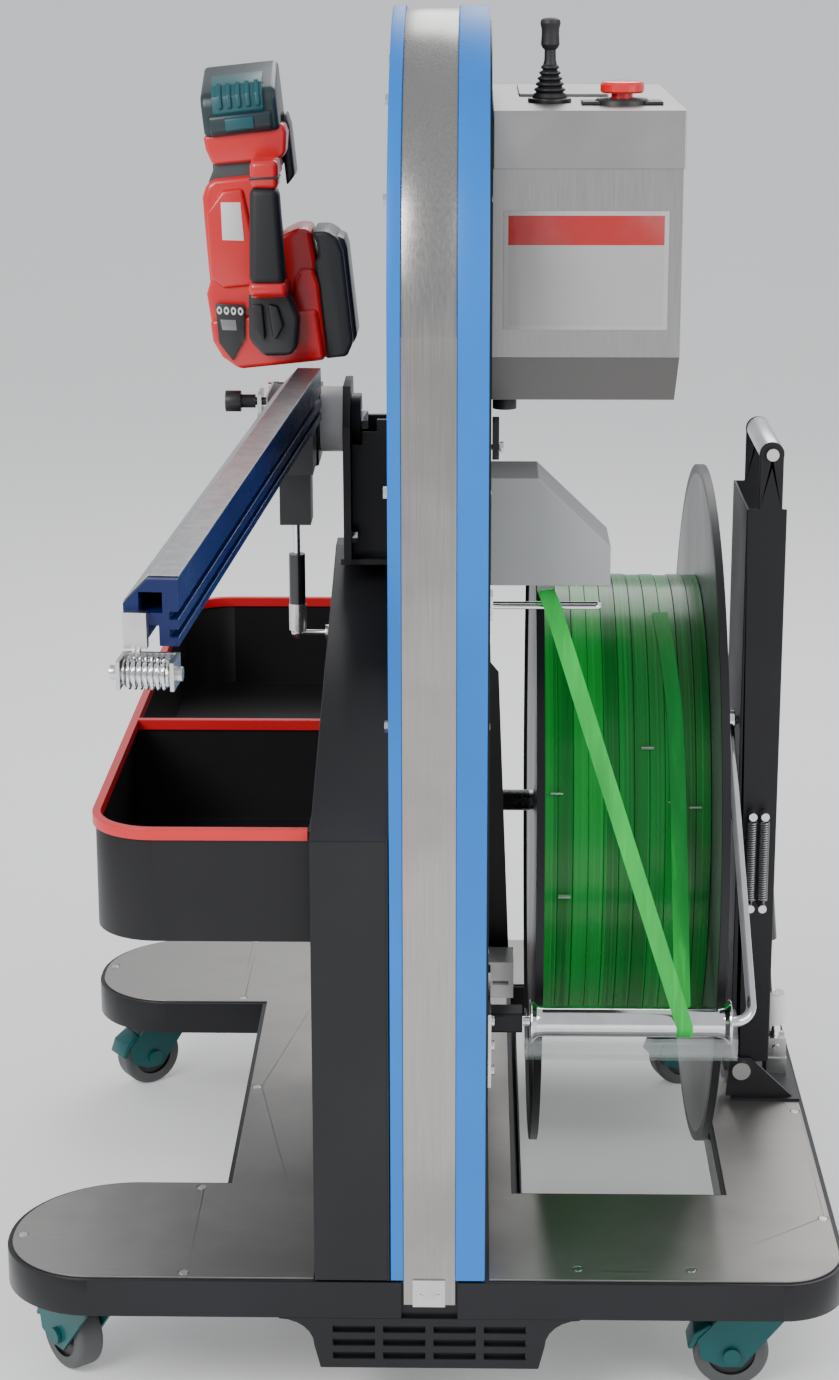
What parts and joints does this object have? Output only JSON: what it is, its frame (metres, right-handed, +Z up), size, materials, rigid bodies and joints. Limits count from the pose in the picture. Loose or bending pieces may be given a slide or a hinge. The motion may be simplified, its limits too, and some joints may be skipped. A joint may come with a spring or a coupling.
{
  "type": "semi automatic strapping machine",
  "caption": "Wheeled pallet strapping machine with a chain lance in a tall blue loop, a tilting strap reel, a tool arm with a battery tool, a tool tray and a lever box.",
  "frame": {"origin": "on the floor under the middle of the machine's overall footprint, with the tool arm reaching out at rest", "axes": "+X to the operator's right across the deck, +Y away from the operator along the lance, +Z up"},
  "size_m": [0.823, 1.3464, 1.3299],
  "materials": {
    "deck_black": "satin black powder coat",
    "deck_steel": "dark brushed stainless sheet",
    "zinc": "zinc plated steel",
    "black_sheet": "fine textured black powder coat",
    "rim_blue": "solid blue polyethylene",
    "brushed": "brushed stainless sheet",
    "caster_green": "teal green enamel",
    "wheel_grey": "grey rubber tread",
    "tray_black": "black powder coat",
    "trim_red": "soft red edging",
    "black_plastic": "fine grained black moulding",
    "switch_red": "red button",
    "grey_paint": "grey enamel",
    "chrome": "polished chrome",
    "flange_steel": "grey sheet disc with dark rim",
    "strap_green": "green polyester strap",
    "aluminium": "satin aluminium",
    "nylon": "white nylon",
    "rail_blue": "dark blue anodised aluminium",
    "galvanised": "galvanised sheet",
    "tool_red": "red moulded housing",
    "tool_black": "black moulded cover",
    "grip_black": "black rubber grip",
    "battery": "dark teal pack"
  },
  "bodies": {
    "root": {"deck_frame": "deck_black", "deck_plates": "deck_steel", "frame_fasteners": "zinc", "lance_housing": "black_sheet", "caster_plates": "zinc", "magazine_rim_left": "rim_blue", "magazine_rim_right": "rim_blue", "magazine_cover": "brushed", "side_plate": "black_sheet", "lance_chain": "black_plastic", "drive_unit": "black_plastic", "tower_body": "black_sheet", "tower_inner_panel": "black_sheet", "tool_bracket": "black_sheet", "tray": "tray_black", "tray_trim": "trim_red", "control_box": "brushed", "control_lid": "brushed", "strap_cover": "grey_paint", "strap_guides": "chrome", "arm_foot": "black_sheet"},
    "lance": {"lance_head": "zinc"},
    "sprocket": {"drive_sprocket": "zinc"},
    "joystick": {"joystick_lever": "black_plastic"},
    "stop_switch": {"switch_button": "switch_red"},
    "reel_arm": {"coil_arm": "black_sheet", "arm_pins": "zinc", "handle_tube": "aluminium", "strap_run": "strap_green", "dancer_springs": "zinc"},
    "reel": {"reel_flanges": "flange_steel", "reel_hub": "black_sheet", "strap_coil": "strap_green"},
    "dancer": {"dancer_arm": "chrome"},
    "dancer_roller": {"dancer_roller": "chrome"},
    "damper_rod": {"damper_rod": "chrome"},
    "damper_tube": {"damper_tube": "black_sheet"},
    "tool_arm": {"tool_rail": "rail_blue", "rail_cover": "galvanised", "arm_head": "black_sheet", "nylon_ring": "nylon", "end_stop": "zinc"},
    "plunger": {"index_plunger": "black_plastic"},
    "stop_roller": {"stop_roller": "black_plastic"},
    "strut_tube": {"strut_tube": "black_sheet"},
    "strut_rod": {"strut_rod": "chrome"},
    "tool": {"tool_housing": "tool_red", "tool_covers": "tool_black", "tool_grip": "grip_black"},
    "feed_trigger": {"tool_feed_trigger": "tool_black"},
    "seal_trigger": {"tool_seal_trigger": "tool_black"},
    "battery": {"tool_battery": "battery"},
    "caster_near_left": {"caster_fork_near_left": "caster_green"},
    "wheel_near_left": {"caster_wheel_near_left": "wheel_grey"},
    "caster_near_right": {"caster_fork_near_right": "caster_green"},
    "wheel_near_right": {"caster_wheel_near_right": "wheel_grey"},
    "caster_far_left": {"caster_fork_far_left": "caster_green"},
    "wheel_far_left": {"caster_wheel_far_left": "wheel_grey"},
    "caster_far_right": {"caster_fork_far_right": "caster_green"},
    "wheel_far_right": {"caster_wheel_far_right": "wheel_grey"}
  },
  "joints": [
    {"name": "coil_arm_tilt", "type": "hinge", "parent": "root", "child": "reel_arm", "pos_m": [0.343, 0.26221, 0.186], "axis": [0, 1, 0], "range_deg": [0, 90]},
    {"name": "reel_spin", "type": "hinge", "parent": "reel_arm", "child": "reel", "pos_m": [0.2, 0.26221, 0.47], "axis": [1, 0, 0], "continuous": true},
    {"name": "dancer_swing", "type": "hinge", "parent": "reel_arm", "child": "dancer", "pos_m": [0.321, 0.20621, 0.58], "axis": [1, 0, 0], "range_deg": [-18, 0], "stiffness_Nm_per_rad": 12, "deforming": ["dancer_springs", "strap_run"]},
    {"name": "dancer_roller_spin", "type": "hinge", "parent": "dancer", "child": "dancer_roller", "pos_m": [0.2, -0.12579, 0.368], "axis": [1, 0, 0], "continuous": true},
    {"name": "damper_foot", "type": "hinge", "parent": "root", "child": "damper_rod", "pos_m": [0.388, 0.25421, 0.186], "axis": [0, 1, 0], "range_deg": [0, 97]},
    {"name": "damper_slide", "type": "slide", "parent": "damper_rod", "child": "damper_tube", "axis": [-0.0872, 0, 0.9962], "range_m": [-0.055, 0]},
    {"name": "tool_arm_swing", "type": "hinge", "parent": "root", "child": "tool_arm", "pos_m": [-0.1, 0.21021, 0.904], "axis": [1, 0, 0], "range_deg": [-30, 8]},
    {"name": "strut_foot", "type": "hinge", "parent": "root", "child": "strut_tube", "pos_m": [-0.137, 0.15521, 0.688], "axis": [1, 0, 0], "range_deg": [-5, 16]},
    {"name": "strut_slide", "type": "slide", "parent": "strut_tube", "child": "strut_rod", "axis": [0, 0, 1], "range_m": [-0.012, 0.0425]},
    {"name": "plunger_pull", "type": "slide", "parent": "tool_arm", "child": "plunger", "axis": [-1, 0, 0], "range_m": [0, 0.008], "stiffness_N_per_m": 900, "springref_m": -0.004},
    {"name": "stop_roller_spin", "type": "hinge", "parent": "tool_arm", "child": "stop_roller", "pos_m": [-0.19692, -0.65877, 0.86546], "axis": [0.9968, -0.0802, 0], "continuous": true},
    {"name": "tool_tilt", "type": "hinge", "parent": "tool_arm", "child": "tool", "pos_m": [-0.152, 0.26221, 0.931], "axis": [1, 0, 0], "range_deg": [-45, 0]},
    {"name": "feed_press", "type": "slide", "parent": "tool", "child": "feed_trigger", "axis": [0, 1, 0], "range_m": [0, 0.003], "stiffness_N_per_m": 700, "springref_m": -0.002},
    {"name": "seal_press", "type": "slide", "parent": "tool", "child": "seal_trigger", "axis": [0, 1, 0], "range_m": [0, 0.003], "stiffness_N_per_m": 700, "springref_m": -0.002},
    {"name": "battery_slide", "type": "slide", "parent": "tool", "child": "battery", "axis": [-0.1045, 0, 0.9945], "range_m": [0, 0.06]},
    {"name": "joystick_tilt", "type": "hinge", "parent": "root", "child": "joystick", "pos_m": [0.115, -0.05179, 1.251], "axis": [1, 0, 0], "range_deg": [-15, 15], "stiffness_Nm_per_rad": 1.2},
    {"name": "stop_press", "type": "slide", "parent": "root", "child": "stop_switch", "axis": [0, 0, -1], "range_m": [0, 0.004], "stiffness_N_per_m": 1500, "springref_m": -0.002},
    {"name": "lance_feed", "type": "slide", "parent": "root", "child": "lance", "axis": [0, 1, 0], "range_m": [0, 0.2]},
    {"name": "sprocket_spin", "type": "hinge", "parent": "root", "child": "sprocket", "pos_m": [0.007, 0.22641, 0.3], "axis": [1, 0, 0], "range_deg": [-345, 5]},
    {"name": "caster_swivel_near_left", "type": "hinge", "parent": "root", "child": "caster_near_left", "pos_m": [-0.335, -0.16479, 0.1], "axis": [0, 0, 1], "continuous": true},
    {"name": "wheel_spin_near_left", "type": "hinge", "parent": "caster_near_left", "child": "wheel_near_left", "pos_m": [-0.35428, -0.14181, 0.0375], "axis": [-0.766, -0.6428, 0], "continuous": true},
    {"name": "caster_swivel_near_right", "type": "hinge", "parent": "root", "child": "caster_near_right", "pos_m": [0.335, -0.16479, 0.1], "axis": [0, 0, 1], "continuous": true},
    {"name": "wheel_spin_near_right", "type": "hinge", "parent": "caster_near_right", "child": "wheel_near_right", "pos_m": [0.305, -0.16479, 0.0375], "axis": [0, -1, 0], "continuous": true},
    {"name": "caster_swivel_far_left", "type": "hinge", "parent": "root", "child": "caster_far_left", "pos_m": [-0.335, 0.58521, 0.1], "axis": [0, 0, 1], "continuous": true},
    {"name": "wheel_spin_far_left", "type": "hinge", "parent": "caster_far_left", "child": "wheel_far_left", "pos_m": [-0.35957, 0.568, 0.0375], "axis": [0.5736, -0.8192, 0], "continuous": true},
    {"name": "caster_swivel_far_right", "type": "hinge", "parent": "root", "child": "caster_far_right", "pos_m": [0.335, 0.58521, 0.1], "axis": [0, 0, 1], "continuous": true},
    {"name": "wheel_spin_far_right", "type": "hinge", "parent": "caster_far_right", "child": "wheel_far_right", "pos_m": [0.30681, 0.57495, 0.0375], "axis": [0.342, -0.9397, 0], "continuous": true}
  ],
  "couplings": [
    {"joint": "damper_foot", "follows": "coil_arm_tilt", "ratio": 1.068},
    {"joint": "damper_slide", "follows": "coil_arm_tilt", "m_per_rad": -0.034},
    {"joint": "strut_foot", "follows": "tool_arm_swing", "ratio": -0.5},
    {"joint": "strut_slide", "follows": "tool_arm_swing", "m_per_rad": -0.08},
    {"joint": "sprocket_spin", "follows": "lance_feed", "rad_per_m": -29.41}
  ]
}
